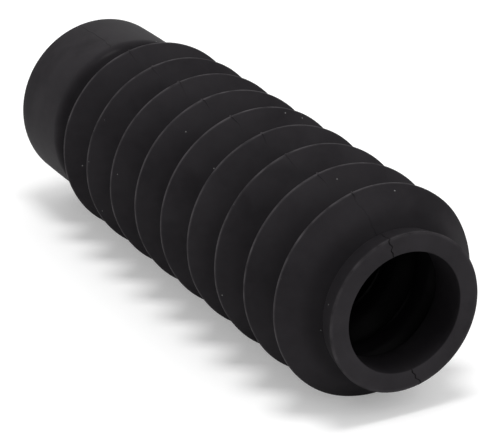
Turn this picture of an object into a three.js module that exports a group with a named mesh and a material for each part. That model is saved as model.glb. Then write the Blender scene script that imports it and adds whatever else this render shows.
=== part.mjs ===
// Fork gaiter: a moulded rubber bellows that keeps grit off the stanchion of a motorcycle fork.
// It is one piece, round about Z, and stands on its large cuff with the small cuff at the top.
// Its section is one closed outline of radius against height, turned about Z. Millimetres.

import * as THREE from 'three';

// The folds, measured on the outside
const foldCount = 9;
const foldPitch = 14.35;
const crestRadius = 26.8;
const crestRounding = 0.8;
const rootRadius = 19.2;
const rootRounding = 1.8;

// The wall of the folds, and the groove behind each crest
const foldWall = 2.2;
const grooveRounding = 1.2;

// The large cuff, which fits over the fork's slider
const largeBoreRadius = 21;
const largeCuffWall = 2.75;
const largeCuffLength = 22.85;
const largeBoreDepth = 21.5;
const largeBoreRounding = 3;
const largeMouthRounding = 0.5;
const largeRimRounding = 0.5;
const shoulderRounding = 4;

// The small cuff, which grips the stanchion
const smallBoreRadius = 15;
const smallCuffWall = 4.95;
const smallBoreDepth = 11;
const smallBoreRounding = 1.5;
const smallMouthRounding = 0.2;
const topAboveLastCrest = 13.9;

// The small cuff's lip, which narrows towards the neck behind it
const lipLength = 5.2;
const lipTaper = 1;
const lipRounding = 0.3;
const lipRimRounding = 0.15;
const lipSlopeHeight = 0.3;
const neckRadius = 17.8;
const neckRounding = 1;
const neckCornerRounding = 0.5;

// Flat steps round the axis, along the rounded corners that shape the look, and along the others
const turnSteps = 36;
const fullSteps = 3;
const fewSteps = 2;

const largeCuffRadius = largeBoreRadius + largeCuffWall;
const smallCuffRadius = smallBoreRadius + smallCuffWall;

// The angle between a fold's flank and the axis: the line that touches both the rounded crest
// and the rounded root next to it.
function flankAngle() {
  const alongAxis = foldPitch / 2;
  const acrossAxis = crestRadius - crestRounding - rootRadius - rootRounding;
  const betweenCentres = Math.hypot(alongAxis, acrossAxis);
  return Math.atan2(acrossAxis, alongAxis) + Math.asin((crestRounding + rootRounding) / betweenCentres);
}

const flank = flankAngle();

// How much further out than its rounded tip the sharp corner of two flanks lies
const tipExcess = 1 / Math.cos(flank) - 1;
const crestCorner = crestRadius + crestRounding * tipExcess;
const rootCorner = rootRadius - rootRounding * tipExcess;

// How far the wall reaches towards the axis below a flank
const wallDrop = foldWall / Math.cos(flank);

// Heights above the large end
const firstRootHeight = largeCuffLength + (largeCuffRadius - rootCorner) / Math.tan(flank);
const firstCrestHeight = firstRootHeight + foldPitch / 2;
const lastCrestHeight = firstCrestHeight + (foldCount - 1) * foldPitch;
const neckHeight = lastCrestHeight + (crestCorner - neckRadius) / Math.tan(flank);
const topHeight = lastCrestHeight + topAboveLastCrest;
const lipHeight = topHeight - lipLength;

function corner(radius, height, rounding, steps) {
  return { point: new THREE.Vector2(radius, height), rounding, steps };
}

// The outside, from the large end's face up to the small end's face
function outerCorners() {
  const corners = [
    corner(largeCuffRadius, 0, largeRimRounding, fewSteps),
    corner(largeCuffRadius, largeCuffLength, shoulderRounding, fullSteps),
  ];
  for (let fold = 0; fold < foldCount; fold += 1) {
    const rise = fold * foldPitch;
    corners.push(corner(rootCorner, firstRootHeight + rise, rootRounding, fewSteps));
    corners.push(corner(crestCorner, firstCrestHeight + rise, crestRounding, fullSteps));
  }
  corners.push(corner(neckRadius, neckHeight, neckRounding, fewSteps));
  corners.push(corner(neckRadius, lipHeight - lipSlopeHeight, neckCornerRounding, fewSteps));
  corners.push(corner(smallCuffRadius - lipTaper, lipHeight, lipRounding, fewSteps));
  corners.push(corner(smallCuffRadius, topHeight, lipRimRounding, fewSteps));
  return corners;
}

// The inside, from the small end's bore down to the large end's bore. Each root is rounded
// about the same centre as the outside, so the wall keeps its thickness there.
function innerCorners() {
  const innerRootRounding = rootRounding + foldWall;
  const corners = [
    corner(smallBoreRadius, topHeight, smallMouthRounding, fewSteps),
    corner(smallBoreRadius, topHeight - smallBoreDepth, smallBoreRounding, fewSteps),
  ];
  for (let fold = foldCount - 1; fold >= 0; fold -= 1) {
    const rise = fold * foldPitch;
    corners.push(corner(crestCorner - wallDrop, firstCrestHeight + rise, grooveRounding, fewSteps));
    corners.push(corner(rootCorner - wallDrop, firstRootHeight + rise, innerRootRounding, fullSteps));
  }
  corners.push(corner(largeBoreRadius, largeBoreDepth, largeBoreRounding, fewSteps));
  corners.push(corner(largeBoreRadius, 0, largeMouthRounding, fewSteps));
  return corners;
}

// The points of the arc that rounds one corner. The arc takes no more than half of either side.
function cornerArc(before, here, after) {
  const back = before.point.clone().sub(here.point);
  const ahead = after.point.clone().sub(here.point);
  const turn = Math.PI - back.angleTo(ahead);
  const longestReach = Math.min(back.length(), ahead.length()) / 2;
  const reach = Math.min(here.rounding * Math.tan(turn / 2), longestReach);
  const radius = reach / Math.tan(turn / 2);
  const start = here.point.clone().add(back.clone().setLength(reach));
  const inward = back.normalize().add(ahead.normalize()).setLength(Math.hypot(reach, radius));
  const centre = here.point.clone().add(inward);
  const sense = Math.sign(ahead.cross(back));
  const points = [];
  for (let step = 0; step <= here.steps; step += 1) {
    points.push(start.clone().rotateAround(centre, (sense * turn * step) / here.steps));
  }
  return points;
}

function sectionOutline(corners) {
  const count = corners.length;
  const points = corners.flatMap((here, index) => {
    const before = corners[(index + count - 1) % count];
    const after = corners[(index + 1) % count];
    return cornerArc(before, here, after);
  });
  points.push(points[0].clone());
  return points;
}

function makeGaiter() {
  const outline = sectionOutline([...outerCorners(), ...innerCorners()]);
  const geometry = new THREE.LatheGeometry(outline, turnSteps);
  geometry.rotateX(Math.PI / 2);
  const rubber = new THREE.MeshStandardMaterial({ color: 0x2b2a2c, roughness: 0.6, metalness: 0 });
  const gaiter = new THREE.Mesh(geometry, rubber);
  gaiter.name = 'gaiter';
  return gaiter;
}

const forkGaiter = new THREE.Group();
forkGaiter.add(makeGaiter());

export default forkGaiter;
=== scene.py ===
import math

import bpy
import numpy as np
from mathutils import Matrix, Vector, noise


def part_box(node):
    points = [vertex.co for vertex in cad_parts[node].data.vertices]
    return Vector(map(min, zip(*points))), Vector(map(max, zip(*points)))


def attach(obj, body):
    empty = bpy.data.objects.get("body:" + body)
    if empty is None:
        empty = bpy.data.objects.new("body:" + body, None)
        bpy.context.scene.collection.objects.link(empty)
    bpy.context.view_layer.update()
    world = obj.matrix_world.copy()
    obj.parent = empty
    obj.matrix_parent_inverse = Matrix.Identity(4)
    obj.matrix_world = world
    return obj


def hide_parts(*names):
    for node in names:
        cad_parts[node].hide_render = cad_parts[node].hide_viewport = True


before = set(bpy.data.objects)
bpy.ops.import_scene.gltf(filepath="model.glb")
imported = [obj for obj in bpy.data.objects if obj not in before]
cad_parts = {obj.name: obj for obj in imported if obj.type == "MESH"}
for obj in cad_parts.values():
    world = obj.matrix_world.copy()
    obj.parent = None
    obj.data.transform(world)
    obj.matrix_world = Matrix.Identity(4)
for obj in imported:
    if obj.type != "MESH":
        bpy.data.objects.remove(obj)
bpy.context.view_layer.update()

# Lengths are in metres. The gaiter stands on its large cuff, with its axis along Z.
MM = 0.001
TOP_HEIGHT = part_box("gaiter")[1].z

FOLD_COUNT = 9
FOLD_PITCH = 14.35 * MM
CREST_RADIUS = 26.8 * MM
CREST_ROUNDING = 0.8 * MM
ROOT_RADIUS = 19.2 * MM
ROOT_ROUNDING = 1.8 * MM
FOLD_WALL = 2.2 * MM
GROOVE_ROUNDING = 1.2 * MM

LARGE_BORE_RADIUS = 21 * MM
LARGE_CUFF_RADIUS = 23.75 * MM
LARGE_CUFF_LENGTH = 22.85 * MM
LARGE_BORE_DEPTH = 21.5 * MM
LARGE_BORE_ROUNDING = 3 * MM
LARGE_MOUTH_ROUNDING = 0.5 * MM
LARGE_RIM_ROUNDING = 0.5 * MM
SHOULDER_ROUNDING = 4 * MM

SMALL_BORE_RADIUS = 15 * MM
SMALL_CUFF_RADIUS = 19.95 * MM
SMALL_BORE_DEPTH = 11 * MM
SMALL_BORE_ROUNDING = 1.5 * MM
SMALL_MOUTH_ROUNDING = 0.2 * MM

LIP_LENGTH = 5.2 * MM
LIP_TAPER = 1 * MM
LIP_ROUNDING = 0.3 * MM
LIP_RIM_ROUNDING = 0.15 * MM
LIP_SLOPE_HEIGHT = 0.3 * MM
NECK_RADIUS = 17.8 * MM
NECK_ROUNDING = 1 * MM
NECK_CORNER_ROUNDING = 0.5 * MM

# Points above the first height count as on the end face. Above the second lie the last fold's
# upper flank, the neck and the lip.
END_FACE_HEIGHT = TOP_HEIGHT - 0.05 * MM
LAST_FLANK_HEIGHT = TOP_HEIGHT - 14 * MM

# The mesh's longest steps along the section
OUTER_ARC_STEP = 0.28 * MM
INNER_ARC_STEP = 0.9 * MM
END_FACE_STEP = 0.3 * MM
LAST_FLANK_STEP = 0.7 * MM
OPEN_STEP = 2.2 * MM

# The mould's parting line runs up two opposite sides. Angles are measured from -Y towards +X.
SEAM_ANGLE = math.radians(10.9)
SEAM_HALF_WIDTH = 0.13 * MM
FLASH_HEIGHT = 0.07 * MM
SPLIT_DEPTH = 0.14 * MM
PIP_HEIGHT = 0.3 * MM
PIP_FOOT_RADIUS = CREST_RADIUS - 0.9 * MM
PIP_TOP_RADIUS = CREST_RADIUS - 0.1 * MM

# How far the parting line wanders, slowly and quickly, and strays towards +X at the crests and
# across the end face
SEAM_WAVE = math.radians(1.3)
SLOW_WAVE_LENGTH = 6 * MM
QUICK_WAVE_LENGTH = 1.1 * MM
CREST_LEAN = math.radians(3.8)
FACE_LEAN = math.radians(5)
FACE_LEAN_LENGTH = 6 * MM

# The mesh follows the parting line fully up to the first angle from it, and not beyond the second
FOLLOW_ANGLE = math.radians(3)
LEAVE_ANGLE = math.radians(14)

# The lengths over which the parting line's height and its darkness vary
ROUGH_LENGTH = 1.7 * MM
PATCH_LENGTH = 17 * MM

# How far the moulded surface wanders from the drawn one, over what length, and how far from
# either end it does so in full
UNEVENNESS = 0.09 * MM
UNEVEN_LENGTH = 11 * MM
EVEN_END_LENGTH = 1.5 * MM

# The shade in the first groove, from its start to its end, as heights
GROOVE_SHADE_START = 21 * MM
GROOVE_SHADE_FULL = 24 * MM
GROOVE_SHADE_FADING = 27 * MM
GROOVE_SHADE_END = 30 * MM

# The shade by the neck starts at a height, and fades from the first radius to the second
NECK_SHADE_HEIGHT = TOP_HEIGHT - 11 * MM
NECK_SHADE_RADIUS = 19.5 * MM
NECK_SHADE_END_RADIUS = 23.5 * MM

# How far in from the crests' tips and from the end face's rim a highlight is painted on the rubber
CREST_HIGHLIGHT_WIDTH = 0.14 * MM
RIM_HIGHLIGHT_WIDTH = 0.45 * MM

# The rubber's colours, among them a painted highlight and painted shade
BLOOM_DARK = (0.0142, 0.0130, 0.0146)
BLOOM_PALE = (0.0256, 0.0237, 0.0261)
MOTTLE_COLOUR = (0.0330, 0.0305, 0.0335)
SMUDGE_COLOUR = (0.0070, 0.0064, 0.0074)
# A painted highlight on the crests and the end face's rim
EDGE_HIGHLIGHT_COLOUR = (0.084, 0.078, 0.083)
# Painted shade along the parting line
SEAM_SHADE_COLOUR = (0.001, 0.001, 0.001)
DUST_COLOUR = (0.22, 0.22, 0.22)
# Painted shade in the bore, towards the fold roots, by the neck, on the lip and in the first groove
PAINTED_SHADE_COLOUR = (0.0055, 0.0050, 0.0058)

# The photograph lays the gaiter on a table whose upward direction is the part's -Y
TABLE_UP = Vector((0, -1, 0))
GAITER_MIDDLE = Vector((0, 0, TOP_HEIGHT / 2))
CAMERA_PLACE = Vector((266.29, -230.24, 574.10)) * MM
CAMERA_FORWARD = Vector((-0.44297, 0.39154, -0.80652))
SENSOR_WIDTH = 36
LENS = 169.6
LAMP_DISTANCE = 1.2
FLOOR_RADIUS = 0.6
FLOOR_SIDES = 96


def flank_angle():
    """The angle of a fold's flank to the axis: it touches the rounded crest and the rounded root."""
    along = FOLD_PITCH / 2
    across = CREST_RADIUS - CREST_ROUNDING - ROOT_RADIUS - ROOT_ROUNDING
    between = math.hypot(along, across)
    return math.atan2(across, along) + math.asin((CREST_ROUNDING + ROOT_ROUNDING) / between)


def section_corners():
    """The section's sharp corners as (radius, height, rounding), up the outside and down the inside."""
    flank = flank_angle()
    tip_excess = 1 / math.cos(flank) - 1
    crest = CREST_RADIUS + CREST_ROUNDING * tip_excess
    root = ROOT_RADIUS - ROOT_ROUNDING * tip_excess
    wall_drop = FOLD_WALL / math.cos(flank)
    first_root = LARGE_CUFF_LENGTH + (LARGE_CUFF_RADIUS - root) / math.tan(flank)
    roots = [first_root + fold * FOLD_PITCH for fold in range(FOLD_COUNT)]
    lip = TOP_HEIGHT - LIP_LENGTH
    outside = [
        (LARGE_CUFF_RADIUS, 0, LARGE_RIM_ROUNDING),
        (LARGE_CUFF_RADIUS, LARGE_CUFF_LENGTH, SHOULDER_ROUNDING),
    ]
    for height in roots:
        outside.append((root, height, ROOT_ROUNDING))
        outside.append((crest, height + FOLD_PITCH / 2, CREST_ROUNDING))
    neck = roots[-1] + FOLD_PITCH / 2 + (crest - NECK_RADIUS) / math.tan(flank)
    outside += [
        (NECK_RADIUS, neck, NECK_ROUNDING),
        (NECK_RADIUS, lip - LIP_SLOPE_HEIGHT, NECK_CORNER_ROUNDING),
        (SMALL_CUFF_RADIUS - LIP_TAPER, lip, LIP_ROUNDING),
        (SMALL_CUFF_RADIUS, TOP_HEIGHT, LIP_RIM_ROUNDING),
    ]
    inside = [
        (SMALL_BORE_RADIUS, TOP_HEIGHT, SMALL_MOUTH_ROUNDING),
        (SMALL_BORE_RADIUS, TOP_HEIGHT - SMALL_BORE_DEPTH, SMALL_BORE_ROUNDING),
    ]
    for height in reversed(roots):
        inside.append((crest - wall_drop, height + FOLD_PITCH / 2, GROOVE_ROUNDING))
        inside.append((root - wall_drop, height, ROOT_ROUNDING + FOLD_WALL))
    inside += [
        (LARGE_BORE_RADIUS, LARGE_BORE_DEPTH, LARGE_BORE_ROUNDING),
        (LARGE_BORE_RADIUS, 0, LARGE_MOUTH_ROUNDING),
    ]
    return outside, inside


def corner_arc(before, here, after, longest_step):
    """The points of the arc that rounds one corner. It takes no more than half of either side."""
    point = np.array(here[:2])
    back = np.array(before[:2]) - point
    ahead = np.array(after[:2]) - point
    back_length = np.linalg.norm(back)
    ahead_length = np.linalg.norm(ahead)
    back /= back_length
    ahead /= ahead_length
    turn = math.pi - math.acos(np.clip(back @ ahead, -1, 1))
    reach = min(here[2] * math.tan(turn / 2), back_length / 2, ahead_length / 2)
    radius = reach / math.tan(turn / 2)
    inward = (back + ahead) / np.linalg.norm(back + ahead)
    centre = point + inward * math.hypot(reach, radius)
    spoke = point + back * reach - centre
    sense = math.copysign(1, ahead[0] * back[1] - ahead[1] * back[0])
    steps = max(3, math.ceil(radius * turn / longest_step))
    points = []
    for step in range(steps + 1):
        angle = sense * turn * step / steps
        cosine = math.cos(angle)
        sine = math.sin(angle)
        turned = [spoke[0] * cosine - spoke[1] * sine, spoke[0] * sine + spoke[1] * cosine]
        points.append(centre + np.array(turned))
    return points


def longest_straight(here, after):
    """The longest piece allowed on a straight: short on the end face, where the parting line winds."""
    radius, height = (here + after) / 2
    if height > END_FACE_HEIGHT:
        return END_FACE_STEP
    if height > LAST_FLANK_HEIGHT and radius > SMALL_BORE_RADIUS + MM:
        return LAST_FLANK_STEP
    return OPEN_STEP


def fill_straights(points):
    """Adds points along the straight stretches, so that none is too long."""
    filled = []
    for here, after in zip(points, points[1:] + points[:1]):
        parts = max(1, math.ceil(np.linalg.norm(after - here) / longest_straight(here, after)))
        filled += [here + (after - here) * part / parts for part in range(parts)]
    return filled


def section_outline():
    """The closed outline of the section, as rows of radius and height."""
    outside, inside = section_corners()
    corners = outside + inside
    outline = []
    for index, here in enumerate(corners):
        after = corners[(index + 1) % len(corners)]
        longest_step = OUTER_ARC_STEP if index < len(outside) else INNER_ARC_STEP
        outline += corner_arc(corners[index - 1], here, after, longest_step)
    return np.array(fill_straights(outline))


def station_angles():
    """The angles of the stations round the axis, close together at both parting lines."""
    close_degrees = [0, 0.25, 0.5, 0.8, 1.15, 1.6, 2.2, 3.0]
    open_steps = 80
    offsets = sorted({side * value for value in close_degrees for side in (-1, 1)})
    start = close_degrees[-1]
    span = 180 - 2 * start
    offsets += [start + span * step / open_steps for step in range(1, open_steps)]
    half = np.radians(offsets)
    return np.concatenate([half, half + math.pi]) + SEAM_ANGLE


def section_normals(outline):
    """The outward direction of the section at each point, as (radius, height)."""
    along = np.roll(outline, -1, axis=0) - np.roll(outline, 1, axis=0)
    across = np.stack([along[:, 1], -along[:, 0]], axis=1)
    return across / np.linalg.norm(across, axis=1)[:, None]


def smooth_step(value, low, high):
    """Rises smoothly from 0 at the low value to 1 at the high one."""
    share = np.clip((value - low) / (high - low), 0, 1)
    return share * share * (3 - 2 * share)


def seam_offsets(angles):
    """How far each station lies round from the nearer parting line."""
    return (angles - SEAM_ANGLE + math.pi / 2) % math.pi - math.pi / 2


def line_noise(points, length, seed):
    """Smooth noise between -1 and 1 along a row of heights or radii."""
    return np.array([noise.noise(Vector((value / length, seed, 0.3))) for value in points])


def outside_rows(outline):
    """Which points of the section lie outside. The outline starts there, and then turns into the bore."""
    first_inside = np.argmax(outline[:, 0] < SMALL_BORE_RADIUS + SMALL_MOUTH_ROUNDING)
    return np.arange(len(outline)) < first_inside


def seam_wander(outline):
    """The angle by which both parting lines wander at each point of the section."""
    along = outline[:, 1] - outline[:, 0]
    on_face = outline[:, 1] > END_FACE_HEIGHT
    slow = 2.2 * line_noise(along, SLOW_WAVE_LENGTH, 1.7)
    quick = (1 + 1.4 * on_face) * line_noise(along, QUICK_WAVE_LENGTH, 4.3)
    return SEAM_WAVE * (slow + quick)


def seam_lean(outline):
    """The angle by which the upper parting line strays towards +X, at the crests and across the face."""
    radius, height = outline[:, 0], outline[:, 1]
    at_crests = smooth_step(radius, NECK_RADIUS, CREST_RADIUS)
    across_face = smooth_step(-radius, -SMALL_CUFF_RADIUS, -SMALL_BORE_RADIUS)
    near_face = smooth_step(height, TOP_HEIGHT - FACE_LEAN_LENGTH, TOP_HEIGHT)
    return CREST_LEAN * at_crests + FACE_LEAN * across_face * near_face


def seam_rise(outline, rough):
    """How high the parting line stands at each point of the section. The end face has a split instead."""
    radius, height = outline[:, 0], outline[:, 1]
    on_outside = outside_rows(outline)
    on_face = on_outside & (height > END_FACE_HEIGHT)
    on_cuff = on_outside * (height < LARGE_CUFF_LENGTH)
    on_last_flank = on_outside * (height > LAST_FLANK_HEIGHT)
    on_crest = on_outside * smooth_step(radius, PIP_FOOT_RADIUS, PIP_TOP_RADIUS)
    strength = on_outside * (0.15 + 0.3 * rough) + 0.6 * on_last_flank + 0.7 * on_cuff
    flash = FLASH_HEIGHT * strength * smooth_step(height, 0, MM)
    return np.where(on_face, -SPLIT_DEPTH * (1 + 0.6 * rough), flash + on_crest * PIP_HEIGHT)


def painted_seam_shade(outline, rough):
    """How much shade is painted along the parting line at each point of the section, from 0 to 1."""
    height = outline[:, 1]
    on_outside = outside_rows(outline)
    on_face = on_outside & (height > END_FACE_HEIGHT)
    on_cuff = on_outside * (height < LARGE_CUFF_LENGTH)
    on_last_flank = on_outside * (height > LAST_FLANK_HEIGHT)
    by_place = 1.15 * on_last_flank + 0.35 * on_face + 0.2 * on_cuff
    patchy = line_noise(height, PATCH_LENGTH, 2.6)
    return on_outside * np.clip(by_place + 0.5 * rough + 0.9 * patchy - 0.2, 0, 1)


def seam_relief(outline, offsets):
    """The height of the parting line over the surface at every vertex, and how much shade is painted on
    it there.
    """
    radius, height = outline[:, 0], outline[:, 1]
    rough = line_noise(height + radius, ROUGH_LENGTH, 5.1)
    reach = offsets[None, :] * (radius / SEAM_HALF_WIDTH)[:, None]
    ridge = np.exp(-reach * reach)
    return seam_rise(outline, rough)[:, None] * ridge, painted_seam_shade(outline, rough)[:, None] * ridge


def unevenness(vertices, row_shares):
    """Small smooth wanderings of the surface, the same at both ends of the turn."""
    flat = vertices.reshape(-1, 3)
    wander = [noise.noise(Vector(place) / UNEVEN_LENGTH) for place in flat.tolist()]
    return UNEVENNESS * np.array(wander).reshape(vertices.shape[:2]) * row_shares[:, None]


def painted_shade(outline, normals):
    """How much shade is painted at each point of the section: 1 deep inside, 0 in the open."""
    radius, height = outline[:, 0], outline[:, 1]
    lip_foot = TOP_HEIGHT - LIP_LENGTH
    faces_out = normals[:, 0] > 0.05
    faces_in = normals[:, 0] < -0.2
    in_folds = (height < TOP_HEIGHT - SMALL_BORE_DEPTH + MM) & (height > LARGE_BORE_DEPTH)
    inside = np.where(in_folds, 1, 0.5) * faces_in
    on_folds = faces_out & (height > LARGE_CUFF_LENGTH)
    towards_root = 1 - smooth_step(radius, ROOT_RADIUS, CREST_RADIUS - MM)
    between_folds = on_folds * (0.17 + 0.17 * towards_root)
    on_lip = on_folds * (height > lip_foot) * (height < TOP_HEIGHT - 0.3 * MM)
    near_neck = on_folds * (height > NECK_SHADE_HEIGHT) * (height < lip_foot)
    towards_neck = 1 - smooth_step(radius, NECK_SHADE_RADIUS, NECK_SHADE_END_RADIUS)
    by_neck = near_neck * (0.2 + 0.4 * towards_neck)
    shade_rises = smooth_step(height, GROOVE_SHADE_START, GROOVE_SHADE_FULL)
    shade_fades = smooth_step(height, GROOVE_SHADE_FADING, GROOVE_SHADE_END)
    by_cuff = 0.5 * (shade_rises * (1 - shade_fades)) * faces_out
    return np.max([inside, between_folds, by_neck, 0.45 * on_lip, by_cuff], axis=0)


def painted_edge_highlights(outline):
    """How much painted highlight each point of the section carries: on the crests, and less so on the end
    face's rim.
    """
    radius, height = outline[:, 0], outline[:, 1]
    crests = np.clip(1 + (radius - CREST_RADIUS) / CREST_HIGHLIGHT_WIDTH, 0, 1)
    from_rim = np.hypot(radius - SMALL_CUFF_RADIUS, height - TOP_HEIGHT)
    rim = 0.8 * np.exp(-(from_rim / RIM_HIGHLIGHT_WIDTH) ** 2)
    return np.maximum(crests, rim)


def gaiter_vertices(outline, stations):
    """Every vertex by row and station, and the three shares that its colour depends on."""
    radius, height = outline[:, 0][:, None], outline[:, 1][:, None]
    offsets = seam_offsets(stations)
    near_seam = 1 - smooth_step(np.abs(offsets), FOLLOW_ANGLE, LEAVE_ANGLE)
    near_upper = near_seam * (np.cos(stations - SEAM_ANGLE) > 0)
    stray = seam_wander(outline)[:, None] * near_seam + seam_lean(outline)[:, None] * near_upper
    angles = stations[None, :] + stray
    outward = np.stack([np.sin(angles), -np.cos(angles), np.zeros_like(angles)], axis=-1)
    upward = np.array([0, 0, 1.0])
    vertices = outward * radius[..., None] + upward * np.broadcast_to(height, angles.shape)[..., None]
    normals = section_normals(outline)
    push = outward * normals[:, 0][:, None, None] + upward * normals[:, 1][:, None, None]
    relief, seam_shade_share = seam_relief(outline, offsets)
    from_ends = np.minimum(outline[:, 1], TOP_HEIGHT - outline[:, 1])
    relief = relief + unevenness(vertices, smooth_step(from_ends, 0, EVEN_END_LENGTH))
    vertices = vertices + push * relief[..., None]
    shares = {
        "seam_shade": seam_shade_share,
        "painted_shade": np.broadcast_to(painted_shade(outline, normals)[:, None], angles.shape),
        "edge_highlight": np.broadcast_to(painted_edge_highlights(outline)[:, None], angles.shape),
    }
    return vertices, shares


def grid_faces(rows, columns):
    """The quads between the rows and columns of a grid that closes on itself both ways."""
    row, column = np.meshgrid(np.arange(rows), np.arange(columns), indexing="ij")
    next_row = (row + 1) % rows
    next_column = (column + 1) % columns
    corners = [
        row * columns + column,
        row * columns + next_column,
        next_row * columns + next_column,
        next_row * columns + column,
    ]
    return np.stack(corners, axis=-1).reshape(-1, 4)


def make_gaiter():
    """The section turned round the axis, as one closed smooth mesh that carries its colour shares."""
    outline = section_outline()
    stations = station_angles()
    vertices, shares = gaiter_vertices(outline, stations)
    faces = grid_faces(len(outline), len(stations))
    mesh = bpy.data.meshes.new("gaiter_rubber")
    mesh.from_pydata(vertices.reshape(-1, 3).tolist(), [], faces.tolist())
    mesh.update()
    mesh.polygons.foreach_set("use_smooth", [True] * len(mesh.polygons))
    for name, values in shares.items():
        layer = mesh.attributes.new(name, "FLOAT", "POINT")
        layer.data.foreach_set("value", values.ravel().astype(np.float32))
    piece = bpy.data.objects.new("gaiter_rubber", mesh)
    bpy.context.scene.collection.objects.link(piece)
    return piece


def scaled_noise(nodes, links, place, scale, detail, low, high):
    """Noise of the given scale, spread so that low becomes 0 and high becomes 1."""
    texture = nodes.new("ShaderNodeTexNoise")
    texture.inputs["Scale"].default_value = scale
    texture.inputs["Detail"].default_value = detail
    links.new(place, texture.inputs["Vector"])
    spread = nodes.new("ShaderNodeMapRange")
    spread.inputs["From Min"].default_value = low
    spread.inputs["From Max"].default_value = high
    links.new(texture.outputs["Fac"], spread.inputs["Value"])
    return spread.outputs[0]


def blend_to(nodes, links, share, below, colour):
    """What lies below, a colour or another node's output, changed to the given colour by the share."""
    mix = nodes.new("ShaderNodeMix")
    mix.data_type = "RGBA"
    links.new(share, mix.inputs[0])
    if isinstance(below, tuple):
        mix.inputs[6].default_value = (*below, 1)
    else:
        links.new(below, mix.inputs[6])
    mix.inputs[7].default_value = (*colour, 1)
    return mix.outputs[2]


def calculate(nodes, links, operation, first, second):
    """One sum on two values, either of which may be a number or another node's output."""
    math_node = nodes.new("ShaderNodeMath")
    math_node.operation = operation
    for socket, value in zip(math_node.inputs, (first, second)):
        if isinstance(value, (int, float)):
            socket.default_value = value
        else:
            links.new(value, socket)
    return math_node.outputs[0]


def dust_specks(nodes, links, place):
    """1 on small, far apart specks, and 0 between them."""
    cells = nodes.new("ShaderNodeTexVoronoi")
    cells.inputs["Scale"].default_value = 260
    links.new(place, cells.inputs["Vector"])
    near = calculate(nodes, links, "LESS_THAN", cells.outputs["Distance"], 0.045)
    tint = nodes.new("ShaderNodeSeparateColor")
    links.new(cells.outputs["Color"], tint.inputs[0])
    chosen = calculate(nodes, links, "GREATER_THAN", tint.outputs[0], 0.5)
    return calculate(nodes, links, "MULTIPLY", near, chosen)


def vertex_share(nodes, name):
    """A share that the mesh carries at its vertices."""
    attribute = nodes.new("ShaderNodeAttribute")
    attribute.attribute_name = name
    return attribute.outputs["Fac"]


def rubber_colour(nodes, links, place, cloud, seam_shade, painted_shade_share):
    """A cloudy grey bloom, with its mottle, smudges, painted edge highlights, painted shade along the
    parting line, dust and painted shade.
    """
    mottle = scaled_noise(nodes, links, place, 420, 3, 0.25, 0.8)
    smudges = scaled_noise(nodes, links, place, 62, 4, 0.57, 0.7)
    broken = scaled_noise(nodes, links, place, 260, 3, 0.3, 0.75)
    layers = [
        (cloud, BLOOM_PALE),
        (calculate(nodes, links, "MULTIPLY", mottle, 0.25), MOTTLE_COLOUR),
        (calculate(nodes, links, "MULTIPLY", smudges, 0.45), SMUDGE_COLOUR),
        # Painted highlight along the crests and the end face's rim
        (calculate(nodes, links, "MULTIPLY", vertex_share(nodes, "edge_highlight"), broken), EDGE_HIGHLIGHT_COLOUR),
        # Painted shade along the parting line
        (seam_shade, SEAM_SHADE_COLOUR),
        (dust_specks(nodes, links, place), DUST_COLOUR),
        # Painted shade in the hollows, the bore and by the neck
        (painted_shade_share, PAINTED_SHADE_COLOUR),
    ]
    colour = BLOOM_DARK
    for share, shade in layers:
        colour = blend_to(nodes, links, share, colour, shade)
    return colour


def set_rubber_gloss(nodes, links, shader, cloud, dulled):
    """A dull satin under a thin coat, which brightens it where it is seen at a slant."""
    cloudiness = calculate(nodes, links, "MULTIPLY", cloud, 0.08)
    roughness = calculate(nodes, links, "ADD", cloudiness, 0.66)
    links.new(roughness, shader.inputs["Roughness"])
    lost = calculate(nodes, links, "MULTIPLY", dulled, 0.07)
    gloss = calculate(nodes, links, "SUBTRACT", 0.08, lost)
    links.new(gloss, shader.inputs["Specular IOR Level"])
    shader.inputs["Specular Tint"].default_value = (0.98, 0.90, 1.0, 1)
    shader.inputs["Coat Weight"].default_value = 0.06
    shader.inputs["Coat Roughness"].default_value = 0.25
    shader.inputs["Coat IOR"].default_value = 1.35


def set_rubber_grain(nodes, links, shader, place):
    """The fine grain that the mould leaves."""
    grain = scaled_noise(nodes, links, place, 2600, 2, 0.2, 0.8)
    bump = nodes.new("ShaderNodeBump")
    bump.inputs["Strength"].default_value = 0.25
    bump.inputs["Distance"].default_value = 0.04 * MM
    links.new(grain, bump.inputs["Height"])
    links.new(bump.outputs[0], shader.inputs["Normal"])


def rubber_material():
    """Black moulded rubber with a faint grey bloom, a fine grain, painted highlights on the crest edges,
    painted shade and some dust.
    """
    material = bpy.data.materials.new("moulded_rubber")
    material.use_nodes = True
    nodes = material.node_tree.nodes
    links = material.node_tree.links
    shader = nodes["Principled BSDF"]
    place = nodes.new("ShaderNodeTexCoord").outputs["Object"]
    cloud = scaled_noise(nodes, links, place, 55, 5, 0.34, 0.68)
    seam_shade = vertex_share(nodes, "seam_shade")
    painted_shade_share = vertex_share(nodes, "painted_shade")
    colour = rubber_colour(nodes, links, place, cloud, seam_shade, painted_shade_share)
    links.new(colour, shader.inputs["Base Color"])
    # The painted shade, along the parting line and in the hollows, also dulls the gloss
    dulled = calculate(nodes, links, "MAXIMUM", seam_shade, painted_shade_share)
    set_rubber_gloss(nodes, links, shader, cloud, dulled)
    set_rubber_grain(nodes, links, shader, place)
    return material


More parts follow.
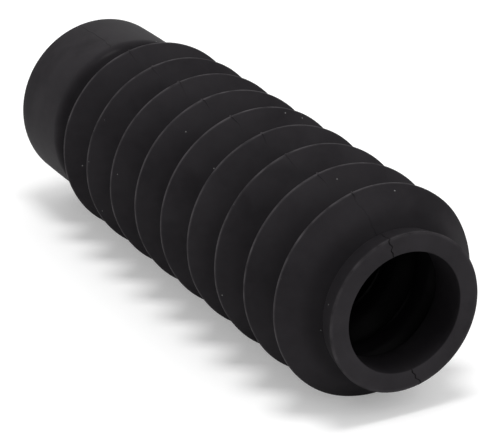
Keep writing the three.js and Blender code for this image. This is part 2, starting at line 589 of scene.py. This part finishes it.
def floor_material():
    """Pale and diffuse, with a faint glow. It is clear from behind, and lets the lamps' light through."""
    material = bpy.data.materials.new("pale_floor")
    material.use_nodes = True
    nodes = material.node_tree.nodes
    links = material.node_tree.links
    nodes.remove(nodes["Principled BSDF"])
    pale = nodes.new("ShaderNodeBsdfDiffuse")
    pale.inputs["Color"].default_value = (0.88, 0.88, 0.88, 1)
    glow = nodes.new("ShaderNodeEmission")
    glow.inputs["Color"].default_value = (0.245, 0.245, 0.245, 1)
    lit = nodes.new("ShaderNodeAddShader")
    links.new(pale.outputs[0], lit.inputs[0])
    links.new(glow.outputs[0], lit.inputs[1])
    clear = nodes.new("ShaderNodeBsdfTransparent")
    path = nodes.new("ShaderNodeLightPath")
    links.new(path.outputs["Is Camera Ray"], glow.inputs["Strength"])
    behind = nodes.new("ShaderNodeNewGeometry").outputs["Backfacing"]
    either = calculate(nodes, links, "MAXIMUM", path.outputs["Is Shadow Ray"], behind)
    mix = nodes.new("ShaderNodeMixShader")
    links.new(either, mix.inputs[0])
    links.new(lit.outputs[0], mix.inputs[1])
    links.new(clear.outputs[0], mix.inputs[2])
    links.new(mix.outputs[0], nodes["Material Output"].inputs["Surface"])
    return material


def make_floor():
    """A disc under the gaiter as the photograph lays it, tangent to its crests."""
    middle = GAITER_MIDDLE - TABLE_UP * CREST_RADIUS
    turns = [math.tau * side / FLOOR_SIDES for side in range(FLOOR_SIDES)]
    corners = [middle + Vector((math.cos(turn), 0, math.sin(turn))) * FLOOR_RADIUS for turn in turns]
    mesh = bpy.data.meshes.new("floor")
    mesh.from_pydata([tuple(corner) for corner in corners], [], [list(range(FLOOR_SIDES))])
    mesh.update()
    floor = bpy.data.objects.new("floor", mesh)
    bpy.context.scene.collection.objects.link(floor)
    floor.data.materials.append(floor_material())


def make_world():
    """White to the camera, and a soft even light to everything else."""
    world = bpy.data.worlds.new("studio")
    bpy.context.scene.world = world
    world.use_nodes = True
    nodes = world.node_tree.nodes
    links = world.node_tree.links
    background = nodes["Background"]
    background.inputs["Color"].default_value = (1, 1, 1, 1)
    path = nodes.new("ShaderNodeLightPath")
    strength = nodes.new("ShaderNodeMapRange")
    strength.inputs["To Min"].default_value = 0.54
    strength.inputs["To Max"].default_value = 1.0
    links.new(path.outputs["Is Camera Ray"], strength.inputs["Value"])
    links.new(strength.outputs[0], background.inputs["Strength"])


def area_lamp(name, direction, level_side, size, power):
    """An oblong softbox that shines at the middle of the gaiter, its first side along level_side."""
    data = bpy.data.lights.new(name, "AREA")
    data.shape = "RECTANGLE"
    data.size, data.size_y = size
    data.energy = power
    lamp = bpy.data.objects.new(name, data)
    away = direction.normalized()
    across = away.cross(level_side).normalized()
    turn = Matrix((across.cross(away), across, away)).transposed().to_4x4()
    lamp.matrix_world = Matrix.Translation(GAITER_MIDDLE + away * LAMP_DISTANCE) @ turn
    bpy.context.scene.collection.objects.link(lamp)


def make_lamps():
    """A short strip above the gaiter, across the picture, and three soft fills."""
    to_camera = -CAMERA_FORWARD
    front = (to_camera - TABLE_UP * to_camera.dot(TABLE_UP)).normalized()
    right = TABLE_UP.cross(front)
    area_lamp("strip_above", TABLE_UP + front * 0.13, right, size=(0.4, 0.34), power=6.3)
    area_lamp("softbox_behind", TABLE_UP * 0.4 - front, right, size=(0.8, 0.8), power=1.2)
    area_lamp("softbox_left", TABLE_UP * 0.4 - right, front, size=(0.8, 0.8), power=1.7)
    towards_right = TABLE_UP * 0.8 + right + front * 0.8
    area_lamp("softbox_right", towards_right, front, size=(1.1, 1.1), power=4.1)


def make_camera():
    """The photograph's viewpoint, fitted to its outlines."""
    data = bpy.data.cameras.new("camera")
    data.sensor_width = SENSOR_WIDTH
    data.lens = LENS
    data.clip_start = 0.01
    data.clip_end = 20
    camera = bpy.data.objects.new("camera", data)
    forward = CAMERA_FORWARD.normalized()
    right = forward.cross(TABLE_UP).normalized()
    up = right.cross(forward)
    turn = Matrix((right, up, -forward)).transposed().to_4x4()
    camera.matrix_world = Matrix.Translation(CAMERA_PLACE) @ turn
    bpy.context.scene.collection.objects.link(camera)
    bpy.context.scene.camera = camera


bpy.context.scene.view_settings.view_transform = "Standard"
make_camera()
make_world()
make_lamps()
make_floor()

gaiter = make_gaiter()
gaiter.data.materials.append(rubber_material())
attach(gaiter, "root")
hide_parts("gaiter")
